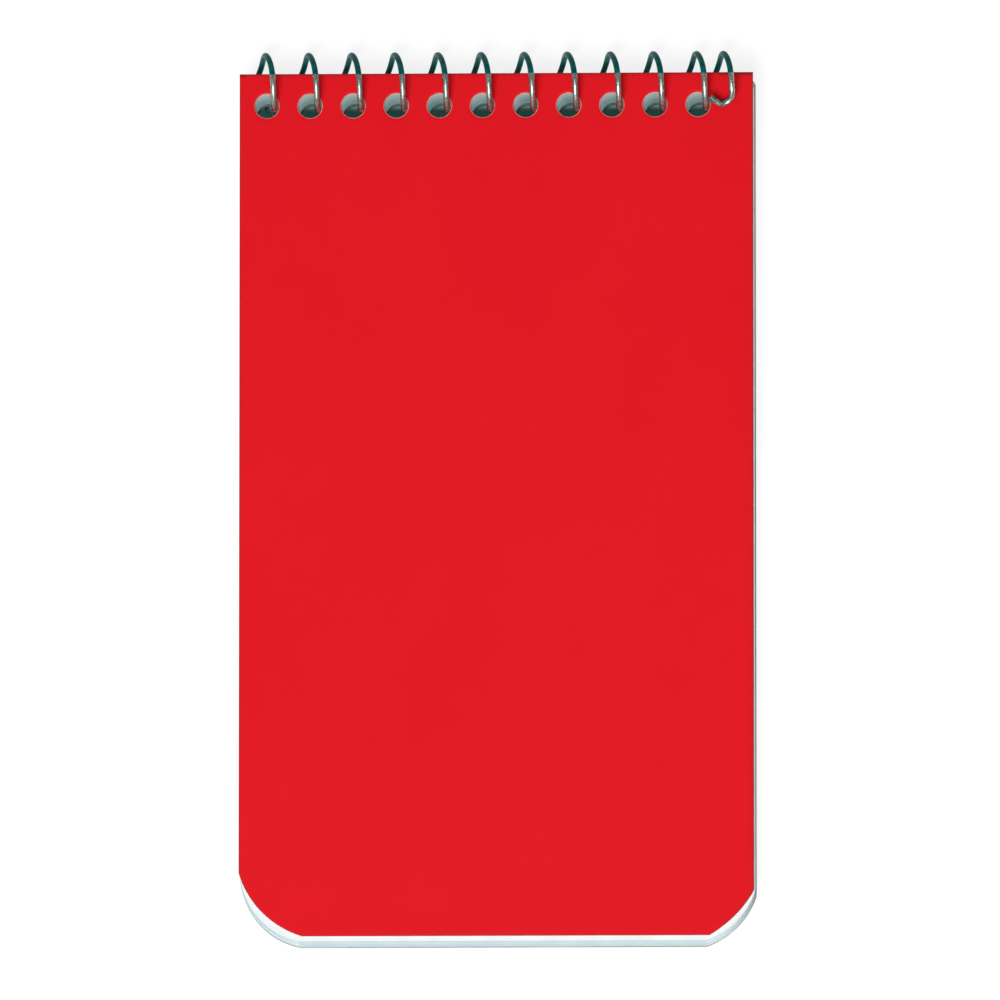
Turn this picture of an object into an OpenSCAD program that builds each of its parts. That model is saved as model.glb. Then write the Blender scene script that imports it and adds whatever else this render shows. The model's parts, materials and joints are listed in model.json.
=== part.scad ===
// Pocket memo notebook, bound along its top edge by one steel spiral.
// It lies on its back: +Z out of the front cover, +Y towards the spiral, X across the page.
// Origin: centre of the bounding box, level with the underside of the spiral.

/* [Leaves] */
// Width of every leaf across the page
leaf_w = 76.2; // [60:0.1:110]
// Height of every leaf from its free bottom edge to its bound top edge
leaf_h = 128.5; // [90:0.1:180]
// Number of ruled sheets
sheets = 50; // [10:1:50]
// Thickness of one sheet of writing paper
sheet_t = 0.056; // [0.05:0.001:0.1]
// Air between two neighbouring leaves
leaf_air = 0.004; // [0.002:0.001:0.02]
// Thickness of the red front cover
front_t = 0.33; // [0.2:0.01:0.6]
// Thickness of the grey back board
back_t = 0.45; // [0.3:0.01:1]

/* [Cut corners] */
// How far the front cover's left bottom corner is cut back along each edge
left_cut = 9.4; // [3:0.1:15]
// Radius of that corner's curve
left_r = 14; // [10:0.5:30]
// How far the front cover's right bottom corner is cut back along each edge
right_cut = 6.6; // [3:0.1:15]
// Radius of that corner's curve
right_r = 18; // [10:0.5:30]
// The same for the sheets and the back board, whose corners are rounder
block_left_cut = 8.8; // [3:0.1:15]
block_left_r = 11; // [9:0.1:30]
block_right_cut = 7.4; // [3:0.1:15]
block_right_r = 12; // [9:0.1:30]

/* [Punched holes] */
// Number of holes along the top edge
holes = 11; // [5:1:16]
// Distance between two holes, and between two turns of the spiral
pitch = 6.4; // [5:0.05:8]
// Diameter of a hole
hole_d = 3.56; // [2.5:0.01:4.5]
// From a leaf's left edge to its first hole
hole_x = 4.05; // [3:0.05:8]
// From a leaf's top edge down to the row of holes
hole_y = 4.8; // [3:0.05:8]

/* [Spiral] */
// Diameter of the steel wire
wire_d = 0.86; // [0.6:0.01:1.2]
// Radius of the spiral to the middle of the wire
coil_r = 4.4; // [3.5:0.05:7]
// How much flatter the turns run where the leaves slide round them
flatten = 0.75; // [0:0.05:1]
// How straight the wire passes through the leaves
straighten = 0.5; // [0:0.05:0.5]
// Sideways place of the first turn from the first hole of the sheets
turn_x = -1.47; // [-2:0.01:2]
// Length of each bent-in end of the wire
end_len = 2.4; // [1:0.1:4]

/* [Front cover] */
// How far the front cover has slipped up the spiral, past the sheets
cover_up = 1.4; // [0:0.05:1.5]
// How far the front cover has slipped to the left of the sheets
cover_left = 0.3; // [0:0.05:0.5]

/* [Hidden] */
$fn = 64;
function sheet_name(i) = str("sheet_", i < 10 ? "0" : "", i);

// The spiral's centre line, which every leaf turns about
coil_out = coil_r + wire_d / 2;
axis_y = (leaf_h + 0.01 - coil_out) / 2;
axis_z = coil_out;
// Left edge of the sheets, and their top edge just short of the centre line
sheet_left = -(leaf_w - cover_left) / 2;
leaf_top = axis_y - 0.01;
// The block of sheets stands a little high on the centre line, so that the thin front cover
// clears the back board when it lies folded open
step = sheet_t + leaf_air;
block_z = axis_z - 1.265;
front_z = block_z + sheets * step + 0.006;
back_z = block_z - 0.006 - back_t;

// What is left outside a shallow curve across a square corner at the origin
module corner_waste(cut, r, t) {
    reach = sqrt(r * r - cut * cut / 2);
    c = cut / 2 + reach / sqrt(2);
    difference() {
        translate([-1, -1, -1]) cube([c + 1, c + 1, t + 2]);
        translate([c, c, -2]) cylinder(r = r, h = t + 4);
    }
}

// One leaf of the pad: square bound corners, cut free corners and a row of round holes
module leaf(left, top, z, t, l_cut, l_r, r_cut, r_r) {
    translate([left, top - leaf_h, z])
        difference() {
            cube([leaf_w, leaf_h, t]);
            corner_waste(l_cut, l_r, t);
            translate([leaf_w, 0, 0]) mirror([1, 0, 0]) corner_waste(r_cut, r_r, t);
            for (i = [0:holes - 1])
                translate([hole_x + i * pitch, leaf_h - hole_y, -1])
                    cylinder(d = hole_d, h = t + 2);
        }
}

// A leaf of the block that the sheets and the back board are trimmed in
module block_leaf(z, t) {
    leaf(sheet_left, leaf_top, z, t, block_left_cut, block_left_r, block_right_cut, block_right_r);
}

// Grey chipboard back
module back_cover() {
    color([0.60, 0.57, 0.52]) block_leaf(back_z, back_t);
}

// Ruled sheet number i, counted from the front
module sheet(i) {
    color([0.95, 0.96, 0.95]) block_leaf(block_z + (sheets - i) * step, sheet_t);
}

// Red card front, slipped a little up and to the left on the wire
module front_cover() {
    color([0.78, 0.05, 0.07])
        leaf(sheet_left - cover_left, leaf_top + cover_up, front_z, front_t,
            left_cut, left_r, right_cut, right_r);
}

// The wire as a tube swept along its centre line. a is the angle round the spiral from +Y over
// the front, so each turn's outermost point is at a whole number of turns.
sides = 8;
step_a = 10;
first_a = -90;
last_a = 360 * (holes - 1) + 300;
function wire_x(a) = pitch * a / 360 + flatten * cos(a + 10) + straighten * sin(2 * a - 153);
function wire_p(a) = [wire_x(a), coil_r * cos(a), coil_r * sin(a)];
function unit(v) = v / norm(v);

// A bent-in end: a quarter bend from the direction of travel to along the spiral, then straight
bend_r = 1.2;
function end_arc(p, go, side) = [
    for (k = [1:6]) let (b = 15 * k) p + bend_r * (sin(b) * go + (1 - cos(b)) * side)
];
function end_path(p, go, side) = concat(
    end_arc(p, go, side),
    [p + bend_r * (go + side) + end_len * side]
);
function reverse(v) = [for (i = [len(v) - 1:-1:0]) v[i]];

head = reverse(end_path(wire_p(first_a), -[0, -sin(first_a), cos(first_a)], [1, 0, 0]));
tail = end_path(wire_p(last_a), [0, -sin(last_a), cos(last_a)], [-1, 0, 0]);
turns = [for (a = [first_a:step_a:last_a]) wire_p(a)];
path = concat(head, turns, tail);
n_path = len(path);

function along(i) = unit(path[min(i + 1, n_path - 1)] - path[max(i - 1, 0)]);
function outward(i) = let (p = path[i], g = along(i), r = [0, p[1], p[2]]) unit(r - (r * g) * g);
function ring(i) = let (u = outward(i), v = cross(along(i), u))
    [for (k = [0:sides - 1]) let (b = 360 * k / sides) path[i] + wire_d / 2 * (cos(b) * u + sin(b) * v)];

// One steel wire: eleven turns with both ends bent in behind the pad
module spiral_wire() {
    points = [for (i = [0:n_path - 1]) each ring(i)];
    walls = [for (i = [0:n_path - 2], k = [0:sides - 1])
        let (m = (k + 1) % sides, o = i * sides)
        each [[o + k, o + sides + m, o + m], [o + k, o + sides + k, o + sides + m]]];
    caps = [[for (k = [0:sides - 1]) k],
        [for (k = [sides - 1:-1:0]) (n_path - 1) * sides + k]];
    color([0.35, 0.50, 0.50])
        translate([sheet_left + hole_x + turn_x, axis_y, axis_z])
            polyhedron(points, concat(walls, caps));
}

back_cover();
for (i = [1:sheets]) sheet(i);
front_cover();
spiral_wire();
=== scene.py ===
import json

import bpy
import numpy as np
from mathutils import Matrix, Vector


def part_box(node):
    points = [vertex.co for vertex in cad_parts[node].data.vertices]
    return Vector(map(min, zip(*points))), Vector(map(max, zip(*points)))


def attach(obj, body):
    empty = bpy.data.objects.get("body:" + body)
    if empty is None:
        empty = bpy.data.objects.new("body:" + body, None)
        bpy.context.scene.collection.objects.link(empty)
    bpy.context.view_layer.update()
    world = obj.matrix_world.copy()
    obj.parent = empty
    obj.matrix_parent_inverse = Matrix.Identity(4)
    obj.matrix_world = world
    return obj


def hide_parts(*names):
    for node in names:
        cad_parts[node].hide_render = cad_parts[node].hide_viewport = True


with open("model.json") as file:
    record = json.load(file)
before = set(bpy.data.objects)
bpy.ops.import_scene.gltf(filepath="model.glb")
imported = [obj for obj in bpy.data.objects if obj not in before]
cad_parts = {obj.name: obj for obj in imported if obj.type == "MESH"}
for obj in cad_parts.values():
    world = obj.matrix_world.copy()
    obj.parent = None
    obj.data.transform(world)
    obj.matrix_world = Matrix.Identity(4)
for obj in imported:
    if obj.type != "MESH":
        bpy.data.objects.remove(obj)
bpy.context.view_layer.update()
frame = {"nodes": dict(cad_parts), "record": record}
MM = 0.001


# ---------------------------------------------------------------------------------------------
# Grey back board. The stiffest leaf of the pad: recycled chipboard, die cut with two curved
# bottom corners and punched in one stroke with the sheets. It stays still on the spiral.
# ---------------------------------------------------------------------------------------------
hole_count, hole_pitch, hole_radius = 11, 6.4, 1.78
hole_from_left, hole_from_top = 4.05, 4.8
block_corners = ((8.8, 11.0), (7.4, 12.0))                # left, right: cut back by, curve's radius


def corner_curve(up, corner):
    """How far the side of a leaf is cut in at a height above its bottom edge.
    Inside the cut it is c - sqrt(r^2 - (up - c)^2), an arc through both ends of the cut,
    whose centre c stands cut/2 + sqrt((r^2 - cut^2/2)/2) from both edges."""
    cut, r = corner
    c = cut / 2 + np.sqrt((r * r - cut * cut / 2) / 2)
    arc = c - np.sqrt(np.maximum(r * r - (np.minimum(up, cut) - c) ** 2, 0))
    return np.where(up < cut, arc, 0.0)


def leaf_plan(width, height, corners, around, rows):
    """Flat plan of a leaf in mm, from its top left corner, as (points, four-sided faces).
    Round each hole, a point is circle + (cell rim - circle) * s, with s from 0 at the hole to 1
    at the rim of its oblong cell. Below the holes, a point is left(y) + (right(y) - left(y)) * u,
    where left and right follow the curved corners."""
    q = around // 4
    half, below = hole_pitch / 2, hole_pitch / 2
    ring = np.array([0, 0.04, 0.1, 0.2, 0.42, 0.78, 0.94, 1.0])
    t = np.arange(around) / q
    turn = np.radians(135 - 90 * t)
    circle = hole_radius * np.stack([np.cos(turn), np.sin(turn)], 1)
    frame_of_cell = np.array([[-half, hole_from_top], [half, hole_from_top],
                              [half, -below], [-half, -below]])
    side, step = t.astype(int) % 4, (t % 1)[:, None]
    rim = frame_of_cell[side] * (1 - step) + frame_of_cell[(side + 1) % 4] * step
    cell = circle[None] + (rim - circle)[None] * ring[:, None, None]
    centres = np.stack([hole_from_left + hole_pitch * np.arange(hole_count),
                        np.full(hole_count, -hole_from_top)], 1)
    cells = (centres[:, None, None] + cell[None]).reshape(-1, 2)
    h, s, a = np.meshgrid(np.arange(hole_count), np.arange(len(ring) - 1), np.arange(around),
                          indexing="ij")
    at = lambda s, a: ((h * len(ring) + s) * around + a % around).ravel()
    cell_faces = np.stack([at(s, a), at(s, a + 1), at(s + 1, a + 1), at(s + 1, a)], 1)

    def sheet_grid(x, y, first):
        ids = first + np.arange(x.size).reshape(x.shape)
        faces = np.stack([ids[:-1, :-1], ids[1:, :-1], ids[1:, 1:], ids[:-1, 1:]], 2).reshape(-1, 4)
        return np.stack([x.ravel(), y.ravel()], 1), faces

    start = hole_from_left - half
    end = start + hole_count * hole_pitch
    near = np.array([0, 0.1, 0.28])                       # fine rows along the rolled edges
    left = np.concatenate([near, np.linspace(near[-1], start, 3)[1:]])
    right = np.concatenate([np.linspace(end, width - near[-1], q // 2 + 2)[:-1],
                            width - near[::-1]])
    strip = -np.linspace(0, hole_from_top + below, q + 1)
    middle = np.linspace(start, end, hole_count * q + 1)
    deep = hole_from_top + below
    cut = max(corners[0][0], corners[1][0])
    closing = cut * (1 - np.linspace(0, 1, rows // 2 + 3)[1:]) ** 1.3
    up = np.concatenate([np.linspace(height - deep, cut, rows + 1), closing, [0.28, 0.1, 0.03]])
    up = np.unique(np.round(up, 5))[::-1]
    u = np.concatenate([left, middle[1:-1], right]) / width
    into, back = corner_curve(up, corners[0]), width - corner_curve(up, corners[1])
    points, faces = [cells], [cell_faces]
    body = into[:, None] + (back - into)[:, None] * u[None], (up[:, None] - height) + 0 * u[None]
    for x, y in (np.meshgrid(left, strip), np.meshgrid(right, strip), body):
        p, f = sheet_grid(x, y, sum(len(k) for k in points))
        points.append(p)
        faces.append(f)
    points, faces = np.concatenate(points), np.concatenate(faces)
    _, keep, same = np.unique(np.round(points, 4), axis=0, return_index=True, return_inverse=True)
    points, faces = points[keep], same.reshape(-1)[faces]
    e1, e2 = points[faces[:, 1]] - points[faces[:, 0]], points[faces[:, 2]] - points[faces[:, 0]]
    over = (e1[:, 0] * e2[:, 1] - e1[:, 1] * e2[:, 0]) < 0
    faces[over] = faces[over][:, ::-1]
    return points, faces


def cut_distance(points, width, height, corners):
    """Distance in mm of each point from the nearest hole's rim, and from the outer edge."""
    x, y = points[:, 0], points[:, 1]
    centre = hole_from_left + hole_pitch * np.arange(hole_count)
    hole = np.sqrt((x[:, None] - centre) ** 2 + (y[:, None] + hole_from_top) ** 2).min(1)
    hole = hole - hole_radius
    up = y + height
    sides = np.minimum(x - corner_curve(up, corners[0]), width - corner_curve(up, corners[1]) - x)
    return np.maximum(hole, 0), np.maximum(np.minimum(np.minimum(sides, up), -y), 0)


def slab(plan, low, high, moved, top_drop, under_drop):
    """Closed slab over a plan: the front is the plan at the high corner's z less top_drop, the
    underside is the plan at the low corner's z plus under_drop, and a wall joins every edge that
    only one face uses. moved is each point's (x, y, z) shift in mm. Returns vertices in metres,
    faces, and each face's kind: 0 front, 1 underside, 2 cut wall."""
    points, faces = plan
    n = len(points)
    place = np.array([low[0], high[1]]) + points * MM
    front = np.column_stack([place, high[2] - top_drop * MM + 0 * place[:, 0]]) + moved * MM
    under = np.column_stack([place, low[2] + under_drop * MM + 0 * place[:, 0]]) + moved * MM
    edges = np.stack([faces, np.roll(faces, -1, 1)], 2).reshape(-1, 2)
    key = np.sort(edges, 1) @ np.array([n, 1])
    _, first, count = np.unique(key, return_index=True, return_counts=True)
    rim = edges[first[count == 1]]
    walls = np.stack([rim[:, 1], rim[:, 0], rim[:, 0] + n, rim[:, 1] + n], 1)
    kinds = np.repeat([0, 1, 2], [len(faces), len(faces), len(walls)])
    return np.concatenate([front, under]), np.concatenate([faces, faces[:, ::-1] + n, walls]), kinds


def lay_mesh(name, vertices, faces, finishes, kinds, smooth, values=None):
    """A mesh object made from whole arrays. values are named numbers, one for each vertex."""
    mesh = bpy.data.meshes.new(name)
    mesh.vertices.add(len(vertices))
    mesh.vertices.foreach_set("co", vertices.astype(np.float32).ravel())
    mesh.loops.add(faces.size)
    mesh.loops.foreach_set("vertex_index", faces.astype(np.int32).ravel())
    mesh.polygons.add(len(faces))
    first = np.arange(0, faces.size, faces.shape[1], dtype=np.int32)
    mesh.polygons.foreach_set("loop_start", first)
    mesh.polygons.foreach_set("material_index", kinds.astype(np.int32))
    mesh.polygons.foreach_set("use_smooth", smooth)
    for finish in finishes:
        mesh.materials.append(finish)
    for key, value in (values or {}).items():
        drawn = mesh.attributes.new(key, "FLOAT", "POINT")
        drawn.data.foreach_set("value", value.astype(np.float32))
    mesh.update(calc_edges=True)
    mesh.validate()
    obj = bpy.data.objects.new(name, mesh)
    bpy.context.scene.collection.objects.link(obj)
    return obj


def add_node(tree, kind, inputs=None, **settings):
    """One shader node. An input is a number, a colour, or another node's output."""
    node = tree.nodes.new("ShaderNode" + kind)
    for key, value in settings.items():
        setattr(node, key, value)
    for key, value in (inputs or {}).items():
        if isinstance(value, bpy.types.NodeSocket):
            tree.links.new(value, node.inputs[key])
        else:
            node.inputs[key].default_value = value
    return node


def number(tree, operation, a, b=0.0, c=0.0):
    """One sum on two or three numbers, each a value or another node's output."""
    return add_node(tree, "Math", {0: a, 1: b, 2: c}, operation=operation).outputs[0]


def between(tree, value, low, high, to_low=0.0, to_high=1.0):
    """Carries value from low..high to to_low..to_high along a smooth step."""
    ends = {"Value": value, "From Min": low, "From Max": high, "To Min": to_low, "To Max": to_high}
    return add_node(tree, "MapRange", ends, interpolation_type="SMOOTHSTEP").outputs[0]


def blend_colour(tree, amount, a, b):
    """Colour a where amount is 0, through to colour b where it is 1."""
    node = add_node(tree, "Mix", data_type="RGBA")
    for key, value in (("Factor_Float", amount), ("A_Color", a), ("B_Color", b)):
        socket = next(s for s in node.inputs if s.identifier == key)
        if isinstance(value, bpy.types.NodeSocket):
            tree.links.new(value, socket)
        else:
            socket.default_value = value
    return next(s for s in node.outputs if s.identifier == "Result_Color")


def new_finish(name, specular, **even):
    """A material with its Principled shader, whose even values are set on its own sockets."""
    finish = bpy.data.materials.new(name)
    finish.use_nodes = True
    tree = finish.node_tree
    tree.nodes.clear()
    shader = add_node(tree, "BsdfPrincipled", {"Specular IOR Level": specular, **even})
    tree.links.new(shader.outputs[0], add_node(tree, "OutputMaterial").inputs[0])
    return finish, tree, shader


def new_group(name, inputs, outputs):
    """A shader node group with number inputs {name: value} and outputs {name: socket kind}."""
    tree = bpy.data.node_groups.new(name, "ShaderNodeTree")
    for key, value in inputs.items():
        socket = tree.interface.new_socket(key, in_out="INPUT", socket_type="NodeSocketFloat")
        socket.default_value = value
    for key, kind in outputs.items():
        tree.interface.new_socket(key, in_out="OUTPUT", socket_type=kind)
    return tree, tree.nodes.new("NodeGroupInput").outputs, tree.nodes.new("NodeGroupOutput").inputs


def use_group(tree, group, **inputs):
    """Places a node group with its own values, named as its inputs are."""
    values = {key.replace("_", " "): value for key, value in inputs.items()}
    return add_node(tree, "Group", values, node_tree=group).outputs


def in_millimetres(tree):
    """The piece's own place in mm, the scale that its grain is given in."""
    place = add_node(tree, "TexCoord").outputs["Object"]
    return add_node(tree, "VectorMath", {0: place, 3: 1 / MM}, operation="SCALE").outputs[0]


def raise_grain(tree, shader, height, strength, depth):
    """Lets a height stand depth metres proud in the shader's normal."""
    bump = add_node(tree, "Bump", {"Strength": strength, "Distance": depth, "Height": height})
    tree.links.new(bump.outputs[0], shader.inputs["Normal"])


# Paper fibres: three noises in the piece's own millimetres. Clouding is the uneven formation of
# the pulp, fibre is short crossed threads, and fleck is the odd darker or lighter speck.
fibres, given, out = new_group(
    "pulp_fibres", {"Cloud size": 6.0, "Fibre size": 0.5, "Fleck size": 0.6, "Fleck share": 0.1},
    {key: "NodeSocketFloat" for key in ("Cloud", "Fibre", "Fleck", "Height")})
millimetres = in_millimetres(fibres)
cloud_scale, fibre_scale, fleck_scale = (
    number(fibres, "DIVIDE", 1.0, given[key]) for key in ("Cloud size", "Fibre size", "Fleck size"))
cloud = add_node(fibres, "TexNoise", {"Vector": millimetres, "Detail": 3.0,
                                      "Scale": cloud_scale}).outputs[0]
threads = []
for angle in (0.5, 2.1):
    turned = add_node(fibres, "Mapping", {"Vector": millimetres, "Rotation": (0, 0, angle),
                                          "Scale": (1.0, 0.16, 1.0)}).outputs[0]
    threads.append(add_node(fibres, "TexNoise", {"Vector": turned, "Detail": 2.0, "Distortion": 0.6,
                                                 "Scale": fibre_scale}).outputs[0])
fibre = number(fibres, "MAXIMUM", threads[0], threads[1])
speck = add_node(fibres, "TexVoronoi", {"Vector": millimetres, "Randomness": 1.0,
                                        "Scale": fleck_scale})
chosen = add_node(fibres, "SeparateColor", {0: speck.outputs["Color"]}).outputs[0]
small = between(fibres, speck.outputs["Distance"], 0.38, 0.16)
rare = number(fibres, "LESS_THAN", chosen, given["Fleck share"])
fleck = number(fibres, "MULTIPLY", small, rare)
height = number(fibres, "MULTIPLY_ADD", fibre, 0.7, number(fibres, "MULTIPLY", cloud, 0.3))
for socket, value in (("Cloud", cloud), ("Fibre", fibre), ("Fleck", fleck), ("Height", height)):
    fibres.links.new(value, out[socket])


hole_shade_colour = (0.030, 0.125, 0.120, 1)               # painted shade inside the holes, dark blue-green


def board_finish(name, dark, light, cut):
    """Grey chipboard. A cut face is coarser, with dark blue-green painted shade in its holes.
    The faces are darkened a little towards the holes.
    """
    finish, tree, shader = new_finish(name, specular=0.12)
    pulp = use_group(tree, fibres, Cloud_size=9.0, Fibre_size=0.55,
                     Fleck_size=1.1, Fleck_share=0.16)
    grey = blend_colour(tree, between(tree, pulp["Cloud"], 0.3, 0.7), dark, light)
    grey = blend_colour(tree, between(tree, pulp["Fibre"], 0.5, 0.75, 0.0, 0.35), grey, light)
    flecks = number(tree, "MULTIPLY", pulp["Fleck"], 0.55)
    grey = blend_colour(tree, flecks, grey, (0.10, 0.085, 0.07, 1))
    # Near the holes: painted shade on the cut walls, and a little darkening on the faces
    mark_mask = add_node(tree, "Attribute", attribute_name="rim").outputs["Fac"]
    near_hole_colour = hole_shade_colour if cut else (0.20, 0.18, 0.155, 1)
    mark_mask = number(tree, "MULTIPLY", mark_mask, 0.85 if cut else 0.22)
    grey = blend_colour(tree, mark_mask, grey, near_hole_colour)
    tree.links.new(grey, shader.inputs["Base Color"])
    tree.links.new(between(tree, pulp["Fibre"], 0.35, 0.75, 0.78, 0.93), shader.inputs["Roughness"])
    raise_grain(tree, shader, pulp["Height"], 0.5 if cut else 0.28, 0.00006)
    return finish


board_low, board_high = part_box("back_cover")
leaf_width = (board_high.x - board_low.x) / MM
leaf_height = (board_high.y - board_low.y) / MM
fine_plan = leaf_plan(leaf_width, leaf_height, block_corners, 48, 40)
from_hole, from_edge = cut_distance(fine_plan[0], leaf_width, leaf_height, block_corners)
rim = np.exp(-from_hole / 0.5)
rolled = 0.05 * np.exp(-np.minimum(from_hole, from_edge) / 0.12)
still = np.zeros((len(rim), 3))
points, faces, kinds = slab(fine_plan, board_low, board_high, still, rolled, rolled * 0.5)
grey_board = board_finish("grey_chipboard", (0.33, 0.30, 0.26, 1), (0.45, 0.42, 0.37, 1), False)
cut_board = board_finish("cut_chipboard", (0.27, 0.245, 0.21, 1), (0.40, 0.37, 0.325, 1), True)
back_board = lay_mesh("back_board", points, faces, [grey_board, cut_board],
                      (kinds == 2) * 1, kinds != 2, {"rim": np.tile(rim, 2)})
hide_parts("back_cover")
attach(back_board, "back")


# ---------------------------------------------------------------------------------------------
# Fifty ruled sheets. Thin white writing paper, ruled pale blue on both faces, gathered, punched
# and trimmed as one block, so each sheet stands a hair's breadth in or out of its neighbours.
# ---------------------------------------------------------------------------------------------
rule_gap, rule_width, first_rule, rules = 6.35, 0.24, 20.0, 16
rule_short = 0.9                                          # the rules stop this far from each side


def ruled_finish(name, low, high, cut):
    """White paper with rules at every rule_gap below the first one, in the piece's own place.
    With cut, the paper is painted blue-grey as the shade on the cut edges.
    """
    middle_x, half_x = (low.x + high.x) / 2, (high.x - low.x) / 2
    finish, tree, shader = new_finish(name, specular=0.2)
    pulp = use_group(tree, fibres, Cloud_size=3.0, Fibre_size=0.22,
                     Fleck_size=0.7, Fleck_share=0.012)
    clouding = between(tree, pulp["Cloud"], 0.3, 0.7)
    # The cut edges are painted blue-grey, as shade
    if cut:
        paper = blend_colour(tree, clouding, (0.42, 0.56, 0.61, 1), (0.52, 0.66, 0.71, 1))
    else:
        paper = blend_colour(tree, clouding, (0.80, 0.825, 0.83, 1), (0.85, 0.87, 0.87, 1))
    place = add_node(tree, "SeparateXYZ", {0: add_node(tree, "TexCoord").outputs["Object"]}).outputs
    down = number(tree, "MULTIPLY_ADD", place["Y"], -1 / MM, high.y / MM)
    line = number(tree, "PINGPONG", number(tree, "SUBTRACT", down, first_rule), rule_gap / 2)
    ink = between(tree, line, rule_width / 2 + 0.05, rule_width / 2 - 0.05)
    off_middle = number(tree, "ABSOLUTE", number(tree, "SUBTRACT", place["X"], middle_x))
    for test, value, limit in (("GREATER_THAN", down, first_rule - 1),
                               ("LESS_THAN", down, first_rule + rule_gap * (rules - 0.5)),
                               ("LESS_THAN", off_middle, half_x - rule_short * MM)):
        ink = number(tree, "MULTIPLY", ink, number(tree, test, value, limit))
    broken = between(tree, pulp["Fibre"], 0.45, 0.8, 0.9, 0.55)
    ink = number(tree, "MULTIPLY", ink, number(tree, "MULTIPLY", broken, 0.4 if cut else 1.0))
    paper = blend_colour(tree, ink, paper, (0.28, 0.50, 0.72, 1))
    flecks = number(tree, "MULTIPLY", pulp["Fleck"], 0.25)
    paper = blend_colour(tree, flecks, paper, (0.45, 0.43, 0.40, 1))
    # Painted shade: the faces take the edges' blue-grey right at the cut
    if not cut:
        edge_shade_amount = add_node(tree, "Attribute", attribute_name="trimmed").outputs["Fac"]
        paper = blend_colour(tree, edge_shade_amount, paper, (0.40, 0.555, 0.61, 1))
    # Painted shade in and round the holes
    mark_mask = add_node(tree, "Attribute", attribute_name="hole_shade_mask").outputs["Fac"]
    hole_shade = number(tree, "MULTIPLY", mark_mask, between(tree, pulp["Cloud"], 0.25, 0.75, 0.85, 1.0))
    paper = blend_colour(tree, hole_shade, paper, hole_shade_colour)
    tree.links.new(paper, shader.inputs["Base Color"])
    tree.links.new(between(tree, pulp["Fibre"], 0.4, 0.8, 0.62, 0.78), shader.inputs["Roughness"])
    raise_grain(tree, shader, pulp["Height"], 0.12, 0.00002)
    return finish


sheet_nodes = sorted(n for n in frame["nodes"] if n.startswith("sheet_"))
body_of_sheet = {n: b for b, names in frame["record"]["behaviour"]["bodies"].items() for n in names}
ruled_paper = ruled_finish("ruled_paper", board_low, board_high, False)
cut_paper_painted_shade = ruled_finish("cut_paper_painted_shade", board_low, board_high, True)
sheet_plan = leaf_plan(leaf_width, leaf_height, block_corners, 24, 20)
sheet_hole, sheet_edge = cut_distance(sheet_plan[0], leaf_width, leaf_height, block_corners)
trimmed = np.exp(-sheet_edge / 0.04)
down = -sheet_plan[0][:, 1] / leaf_height
across = sheet_plan[0][:, 0] / leaf_width


def spring_up(down, across):
    """How far a leaf springs up, as a share of its most: down^2.2, a quarter less in the middle."""
    return down ** 2.2 * (0.75 + 0.25 * (2 * across - 1) ** 2)


# The block is bevelled at its free edge and its right side: each sheet ends a little short of
# the one below it, and all short of the board. Only a little of it shows at the right
spring = spring_up(down, across)
at_right = np.clip((across - 0.94) / 0.06, 0, 1)
# Painted shade, dark blue-green, round each hole, longest above it
above = np.clip(1.12 - sheet_hole / 3.4, 0, 1) * (sheet_plan[0][:, 1] > -hole_from_top - 0.3)
hole_shade_mask = np.maximum(np.exp(-sheet_hole / 0.4), above) * 0.92
most_spring, most_short, least_short, right_short = 0.30, 0.50, 0.14, 0.13
trim = np.random.default_rng(12)
for number_in_pad, node in enumerate(sheet_nodes, 1):
    low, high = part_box(node)
    height_in_block = 1 - (number_in_pad - 1) / len(sheet_nodes)
    slip, turn, stretch = trim.uniform(-1, 1, 3)
    short = least_short + most_short * height_in_block + 0.04 * stretch
    moved = np.stack([0.02 * slip + 0.06 * turn * down - right_short * at_right,
                      short * down ** 2,
                      most_spring * height_in_block ** 2 * spring], 1)
    points, faces, kinds = slab(sheet_plan, low, high, moved, 0.0, 0.0)
    leaf = lay_mesh("ruled_" + node, points, faces, [ruled_paper, cut_paper_painted_shade],
                    (kinds == 2) * 1, kinds != 2,
                    {"hole_shade_mask": np.tile(hole_shade_mask, 2), "trimmed": np.tile(trimmed, 2)})
    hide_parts(node)
    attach(leaf, body_of_sheet[node])


# ---------------------------------------------------------------------------------------------
# Red front cover. Thin card, coated and printed solid red outside and bare white inside, cut and
# punched with the block. The punch rolls the coating over into each hole and bares the core.
# ---------------------------------------------------------------------------------------------
cover_low, cover_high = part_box("front_cover")
cover_corners = ((9.4, 14.0), (6.6, 18.0))
cover_plan = leaf_plan(leaf_width, leaf_height, cover_corners, 48, 40)
from_hole, from_edge = cut_distance(cover_plan[0], leaf_width, leaf_height, cover_corners)


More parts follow.
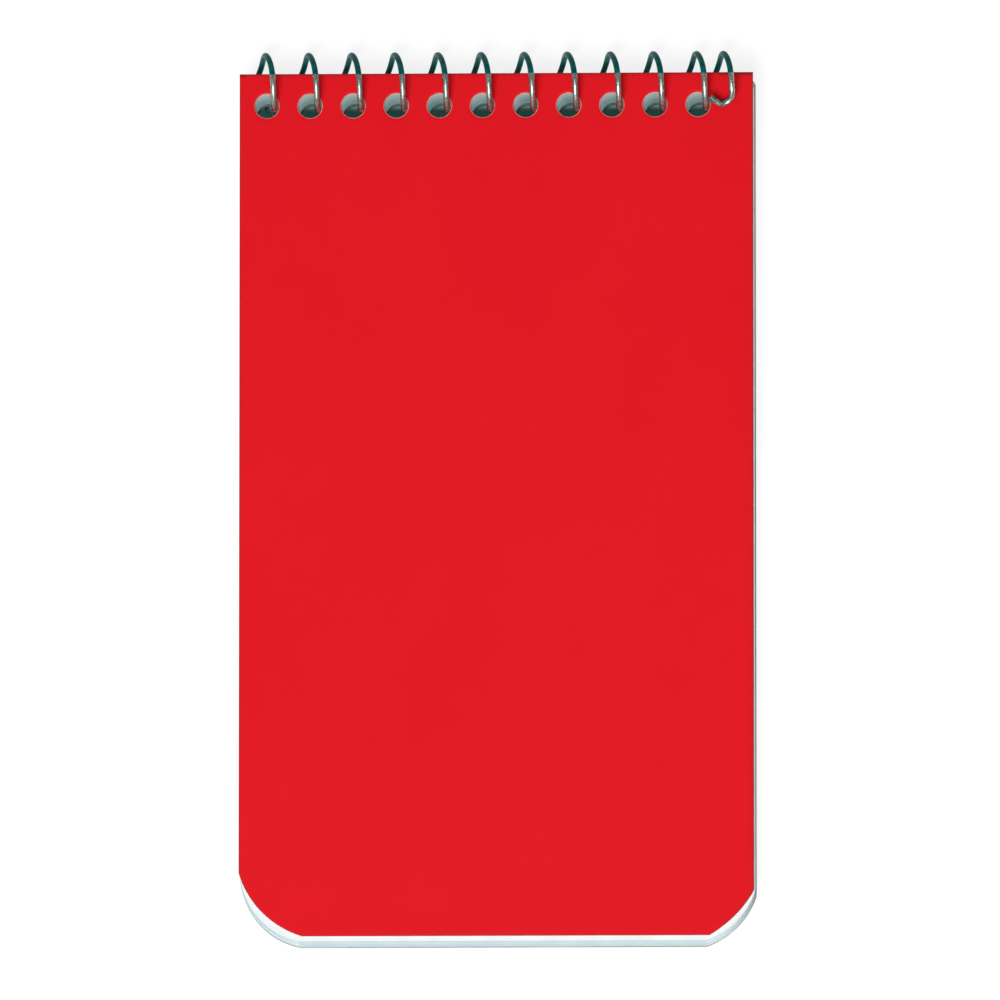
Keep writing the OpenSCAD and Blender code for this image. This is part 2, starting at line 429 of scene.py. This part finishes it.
def red_print_finish():
    """Solid red print under a thin coating, worn pale at the holes, and darkened along the trimmed
    edges as painted shade."""
    finish, tree, shader = new_finish("red_coated_card", specular=0.08)
    pulp = use_group(tree, fibres, Cloud_size=14.0, Fibre_size=0.8,
                     Fleck_size=1.6, Fleck_share=0.02)
    red = blend_colour(tree, between(tree, pulp["Cloud"], 0.3, 0.7),
                       (0.712, 0.0048, 0.0112, 1), (0.726, 0.0054, 0.0122, 1))
    threads = between(tree, pulp["Fibre"], 0.5, 0.8, 0.0, 0.08)
    red = blend_colour(tree, threads, red, (0.66, 0.0044, 0.0100, 1))
    flecks = number(tree, "MULTIPLY", pulp["Fleck"], 0.12)
    red = blend_colour(tree, flecks, red, (0.60, 0.010, 0.014, 1))
    mark_mask = add_node(tree, "Attribute", attribute_name="rim").outputs["Fac"]
    worn = number(tree, "MULTIPLY", between(tree, mark_mask, 0.70, 1.0),
                  between(tree, pulp["Fibre"], 0.42, 0.62, 0.45, 0.9))
    red = blend_colour(tree, worn, red, (0.70, 0.50, 0.46, 1))
    # Painted shade: darker red along the trimmed edges
    trim = add_node(tree, "Attribute", attribute_name="trimmed").outputs["Fac"]
    red = blend_colour(tree, number(tree, "MULTIPLY", trim, 0.8), red, (0.26, 0.020, 0.018, 1))
    tree.links.new(red, shader.inputs["Base Color"])
    tree.links.new(between(tree, pulp["Cloud"], 0.25, 0.75, 0.44, 0.50), shader.inputs["Roughness"])
    raise_grain(tree, shader, pulp["Height"], 0.10, 0.00003)
    return finish


def bare_card_finish(name, dark, light, bleed):
    """Uncoated card. bleed is how much red has crept from the printed edge."""
    finish, tree, shader = new_finish(name, specular=0.15)
    pulp = use_group(tree, fibres, Cloud_size=4.0, Fibre_size=0.4, Fleck_size=0.8, Fleck_share=0.04)
    card = blend_colour(tree, between(tree, pulp["Cloud"], 0.3, 0.7), dark, light)
    flecks = number(tree, "MULTIPLY", pulp["Fleck"], 0.3)
    card = blend_colour(tree, flecks, card, (0.45, 0.42, 0.38, 1))
    crept = between(tree, pulp["Fibre"], 0.45, 0.75, 0.0, bleed)
    card = blend_colour(tree, crept, card, (0.62, 0.06, 0.06, 1))
    tree.links.new(card, shader.inputs["Base Color"])
    tree.links.new(between(tree, pulp["Fibre"], 0.4, 0.8, 0.68, 0.85), shader.inputs["Roughness"])
    raise_grain(tree, shader, pulp["Height"], 0.2, 0.00004)
    return finish


down = -cover_plan[0][:, 1] / leaf_height
across = cover_plan[0][:, 0] / leaf_width
cover_spring = 0.45
moved = np.stack([0 * down, 0 * down, cover_spring * spring_up(down, across)], 1)
rolled = 0.11 * np.exp(-from_hole / 0.14) + 0.05 * np.exp(-from_edge / 0.12)
points, faces, kinds = slab(cover_plan, cover_low, cover_high, moved, rolled, 0 * rolled)
card_finishes = [
    red_print_finish(),
    bare_card_finish("bare_card_inside", (0.76, 0.75, 0.72, 1), (0.82, 0.81, 0.78, 1), 0.0),
    bare_card_finish("card_core", (0.66, 0.56, 0.53, 1), (0.78, 0.70, 0.67, 1), 0.35)]
red_cover = lay_mesh("red_cover", points, faces, card_finishes, kinds, kinds != 2,
                     {"rim": np.tile(np.exp(-from_hole / 0.5), 2),
                      "trimmed": np.tile(np.exp(-from_edge / 0.15), 2)})
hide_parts("front_cover")
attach(red_cover, "cover")


# ---------------------------------------------------------------------------------------------
# Steel spiral. One length of hard-drawn wire, lacquered dark blue-green, wound on a mandrel and
# screwed through the holes. Its front legs are bare bright steel, worn by the leaves and also a
# painted highlight where they face the light. Its left end is bent in behind the pad, and its
# right end runs once more over the edge and hooks back by the last hole.
# ---------------------------------------------------------------------------------------------
wire_low, wire_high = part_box("spiral_wire")
wire_radius, coil_radius, wire_sides = 0.43, 4.4, 16
axis_y = board_high.y / MM + 0.01
axis_z = (wire_low.z + wire_high.z) / 2 / MM
turn_left_of_hole = 1.316
first_turn_x = board_low.x / MM + hole_from_left - turn_left_of_hole
last_hole_turn, last_turn = 360 * (hole_count - 1), 360 * hole_count
draw_in_from, draw_in_over, draw_in = last_turn - 160, 90, 2.4


def spiral_line(a):
    """Centre of the wire in mm at an angle of a degrees round the coil, from its outermost point
    over the front. It goes round as (r cos a, r sin a) and along by pitch a / 360 and three
    waves, cosine and sine of a, 2a and 3a. The waves let it run almost straight where a leaf's
    holes slide round it and make up the pitch behind the pad. The last turn, which has no hole
    to follow, draws in to the left by draw_in."""
    turn = np.radians(a)
    last = np.clip((a - draw_in_from) / draw_in_over, 0, 1)
    waves = (0.90 * np.cos(turn) + 0.24 * np.sin(turn)
             - 0.195 * np.cos(2 * turn) - 0.227 * np.sin(2 * turn)
             - 0.095 * np.cos(3 * turn) + 0.028 * np.sin(3 * turn))
    x = first_turn_x + hole_pitch * a / 360 + waves - draw_in * last * last * (3 - 2 * last)
    return np.stack([x, axis_y + coil_radius * np.cos(turn),
                     axis_z + coil_radius * np.sin(turn)], 1)


def bend_in(start, go, aside, radius, length):
    """Quarter bend from the direction go to the direction aside, then straight for length."""
    b = np.radians(np.arange(5, 91, 5))[:, None]
    bend = start + radius * (np.sin(b) * go + (1 - np.cos(b)) * aside)
    straight = bend[-1] + aside * np.linspace(0, length, 8)[1:, None]
    return np.concatenate([bend, straight])


def bow(points, steps):
    """Curve that leaves the first point towards the second and reaches the last from the one
    before it: the sum over k of (n over k) t^k (1 - t)^(n - k) point k."""
    points = np.array(points, float)
    n, t = len(points) - 1, np.linspace(0, 1, steps)[:, None]
    k = np.arange(n + 1)
    chosen = np.concatenate([[1], np.cumprod((n + 1.0 - k[1:]) / k[1:])])
    return (chosen * t ** k * (1 - t) ** (n - k)) @ points


dome_angles = [80, 60, 40, 20]


def tube(line, radius, around):
    """Round tube along a line, whose rings stand on the direction away from the coil's axis. Its
    two ends are domed by rings that shrink as cos b while they go on by r sin b, and strips of
    four-sided faces close the last small ring."""
    along = np.gradient(line, axis=0)
    along /= np.linalg.norm(along, axis=1, keepdims=True)
    b = np.radians(dome_angles)[:, None]
    line = np.concatenate([line[0] - along[0] * radius * 0.6 * np.sin(b), line,
                           line[-1] + along[-1] * radius * 0.6 * np.sin(b[::-1])])
    size = np.concatenate([np.cos(b), np.ones((len(along), 1)), np.cos(b[::-1])]) * radius
    domes = len(dome_angles)
    along = np.concatenate([np.repeat(along[:1], domes, 0), along, np.repeat(along[-1:], domes, 0)])
    away = line - np.array([0, axis_y, axis_z])
    away[:, 0] = 0
    away -= (away * along).sum(1, keepdims=True) * along
    away /= np.linalg.norm(away, axis=1, keepdims=True)
    beside = np.cross(along, away)
    v = np.radians(360 * np.arange(around) / around)[None, :, None]
    spoke = np.cos(v) * away[:, None] + np.sin(v) * beside[:, None]
    rings = line[:, None] + size[:, None] * spoke
    n = len(line)
    i, j = np.meshgrid(np.arange(n - 1), np.arange(around), indexing="ij")
    k = (j + 1) % around
    here, there = i * around, (i + 1) * around
    walls = np.stack([here + j, here + k, there + k, there + j], 2)
    c = np.arange(around // 2 - 1)[:, None]
    cap = np.concatenate([c, c + 1, around - 2 - c, around - 1 - c], 1)
    faces = np.concatenate([walls.reshape(-1, 4), cap[:, ::-1], (n - 1) * around + cap])
    return rings.reshape(-1, 3), faces


def wire_finish():
    """Dark blue-green lacquer, and bare drawn steel for the leaves' wear and a painted highlight.
    """
    finish, tree, shader = new_finish("lacquered_steel_wire", specular=0.06)
    millimetres = in_millimetres(tree)
    draw_marks, patches = (add_node(tree, "TexNoise", {"Vector": millimetres, "Scale": scale,
                                                       "Detail": 2.0}).outputs[0]
                           for scale in (2.6, 1.3))
    mark_mask = add_node(tree, "Attribute", attribute_name="wear_and_highlight").outputs["Fac"]
    edge = number(tree, "MULTIPLY_ADD", number(tree, "SUBTRACT", patches, 0.5), 0.5, mark_mask)
    bare = between(tree, edge, 0.32, 0.62)
    lacquer = blend_colour(tree, between(tree, patches, 0.3, 0.7),
                           (0.001, 0.062, 0.060, 1), (0.002, 0.110, 0.102, 1))
    steel = blend_colour(tree, between(tree, draw_marks, 0.35, 0.65),
                         (0.27, 0.37, 0.33, 1), (0.50, 0.59, 0.53, 1))
    tree.links.new(blend_colour(tree, bare, lacquer, steel), shader.inputs["Base Color"])
    tree.links.new(bare, shader.inputs["Metallic"])
    rough = number(tree, "MULTIPLY_ADD", draw_marks, 0.14, 0.28)
    tree.links.new(rough, shader.inputs["Roughness"])
    raise_grain(tree, shader, draw_marks, 0.04, 0.00003)
    return finish


first_angle, leg_angle = -90, last_turn + 104
turns = spiral_line(np.arange(first_angle, leg_angle + 1, 3.0))
# The left end: bent square to the turn, along the spiral behind the pad
go = turns[0] - turns[1]
go /= np.linalg.norm(go)
aside = np.array([1.0, 0, 0]) - go[0] * go
aside /= np.linalg.norm(aside)
left_end = bend_in(turns[0], go, aside, 1.2, 2.4)[::-1]
# The right end: down over the cover, then bowed left to lie beside the last leg in a hole
go = turns[-1] - turns[-2]
go /= np.linalg.norm(go)
hook_x = turns[-1][0]
leg = spiral_line(np.array([last_hole_turn + 132.0]))[0]
face_z = cover_high.z / MM
hook = bow([turns[-1], turns[-1] + 1.5 * go, (hook_x + 0.6, axis_y - 3.1, face_z + 0.60),
            (hook_x - 1.8, axis_y - 3.7, face_z + 0.45),
            leg + [2.6, -0.9, 0.0], leg + [0.9, 0.3, 0.35]], 40)[1:]
line = np.concatenate([left_end, turns, hook])
points, faces = tube(line, wire_radius, wire_sides)
# Bare bright steel where the leaves slide, and painted highlight: over the front, from the
# cover's top edge to its holes
front = (line[:, 2] > axis_z) * np.clip((cover_high.y / MM - 0.1 - line[:, 1]) / 0.9, 0, 1)
hook_end = np.clip((len(line) - np.arange(len(line))) / 30, 0.45, 1)
front = front * hook_end
behind = (line[:, 2] <= axis_z) * np.clip((axis_y - 3.0 - line[:, 1]) / 1.2, 0, 1) * 0.6
wear_and_highlight = np.concatenate([np.repeat(0.8, len(dome_angles)), np.maximum(front, behind),
                         np.repeat(0.5, len(dome_angles))])
steel_spiral = lay_mesh("steel_spiral", points * MM, faces, [wire_finish()], np.zeros(len(faces)),
                        np.ones(len(faces), bool), {"wear_and_highlight": np.repeat(wear_and_highlight, wire_sides)})
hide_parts("spiral_wire")
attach(steel_spiral, "back")


# ---------------------------------------------------------------------------------------------
# Where it lies. A plain pale table, tilted by the little that lets the spiral and the back
# board's free edge both touch it, under one wide soft light and an even pale room.
# ---------------------------------------------------------------------------------------------
slope = board_low.z / (axis_y * MM - board_low.y)
reach = 6.0
across_table = np.linspace(-reach, reach, 13)
u, v = np.meshgrid(across_table, across_table, indexing="ij")
table_points = np.stack([u.ravel(), v.ravel() + axis_y * MM, -slope * v.ravel() - 0.00002], 1)
ids = np.arange(u.size).reshape(u.shape)
table_faces = np.stack([ids[:-1, :-1], ids[1:, :-1], ids[1:, 1:], ids[:-1, 1:]], 2).reshape(-1, 4)
table_finish, tree, shader = new_finish("pale_table", specular=0.05,
                                        **{"Emission Strength": 0.80, "Roughness": 0.8})
place = add_node(tree, "TexCoord").outputs["Object"]
grain = add_node(tree, "TexNoise", {"Vector": place, "Scale": 60.0}).outputs[0]
at = add_node(tree, "SeparateXYZ", {0: place}).outputs
row_x = board_low.x + (hole_from_left + hole_pitch * (hole_count - 1) / 2) * MM
row_y = board_high.y - hole_from_top * MM - 0.0002
half_row = (hole_pitch * (hole_count - 1) / 2 + hole_radius) * MM
half_strip = 0.0019


def outside(tree, value, middle, half):
    """How far a number lies beyond half to either side of middle; below 0 is inside."""
    off = number(tree, "ABSOLUTE", number(tree, "SUBTRACT", value, middle))
    return number(tree, "SUBTRACT", off, half)


# A soft-edged strip of the table under the row of holes doesn't glow, and is painted dark
# blue-green as shade, so that the holes look deep
off_strip = number(tree, "MAXIMUM", outside(tree, at["X"], row_x, half_row),
                   outside(tree, at["Y"], row_y, half_strip))
lit = between(tree, off_strip, -0.0003, 0.0026)
tree.links.new(blend_colour(tree, lit, (0, 0, 0, 1), (1, 1, 1, 1)), shader.inputs["Emission Color"])
pale = blend_colour(tree, grain, (0.25, 0.25, 0.25, 1), (0.27, 0.27, 0.27, 1))
painted_shade_under_holes = (0.11, 0.33, 0.31, 1)
tree.links.new(blend_colour(tree, lit, painted_shade_under_holes, pale), shader.inputs["Base Color"])
table = lay_mesh("table", table_points, table_faces, [table_finish],
                 np.zeros(len(table_faces)), np.zeros(len(table_faces), bool))

room = bpy.data.worlds.new("pale_room")
room.use_nodes = True
room.node_tree.nodes["Background"].inputs["Color"].default_value = (1.0, 1.0, 1.0, 1)
room.node_tree.nodes["Background"].inputs["Strength"].default_value = 0.28
bpy.context.scene.world = room


def soft_light(name, place, aim, size, power, colour):
    lamp = bpy.data.lights.new(name, "AREA")
    lamp.shape, lamp.size, lamp.energy, lamp.color = "DISK", size, power, colour
    holder = bpy.data.objects.new(name, lamp)
    bpy.context.scene.collection.objects.link(holder)
    holder.location = place
    holder.rotation_euler = (Vector(aim) - Vector(place)).to_track_quat("-Z", "Y").to_euler()


soft_light("overhead_softbox", (-0.28, -0.85, 1.65), (0, 0, 0), 1.1, 32.5, (1.0, 1.0, 1.0))

# The camera stands almost square above the pad, a little towards its free edge and right side
side, tilt, distance = np.radians(2.0), np.radians(6.29), 3.094
toward = Vector((np.sin(side), -np.sin(tilt) * np.cos(side), np.cos(tilt) * np.cos(side)))
right = Vector((0, 1, 0)).cross(toward).normalized()
upward = toward.cross(right)
camera = bpy.data.cameras.new("camera")
camera.sensor_width, camera.lens = 36.0, 6.750 * distance * 36.0
camera.shift_x, camera.shift_y, camera.clip_end = 0.00226, -0.00176, 60.0
stand = bpy.data.objects.new("camera", camera)
bpy.context.scene.collection.objects.link(stand)
turned = Matrix((right, upward, toward)).transposed().to_4x4()
stand.matrix_world = Matrix.Translation(Vector((0, 0, axis_z * MM)) + toward * distance) @ turned
bpy.context.scene.camera = stand
bpy.context.scene.view_settings.view_transform = "Standard"
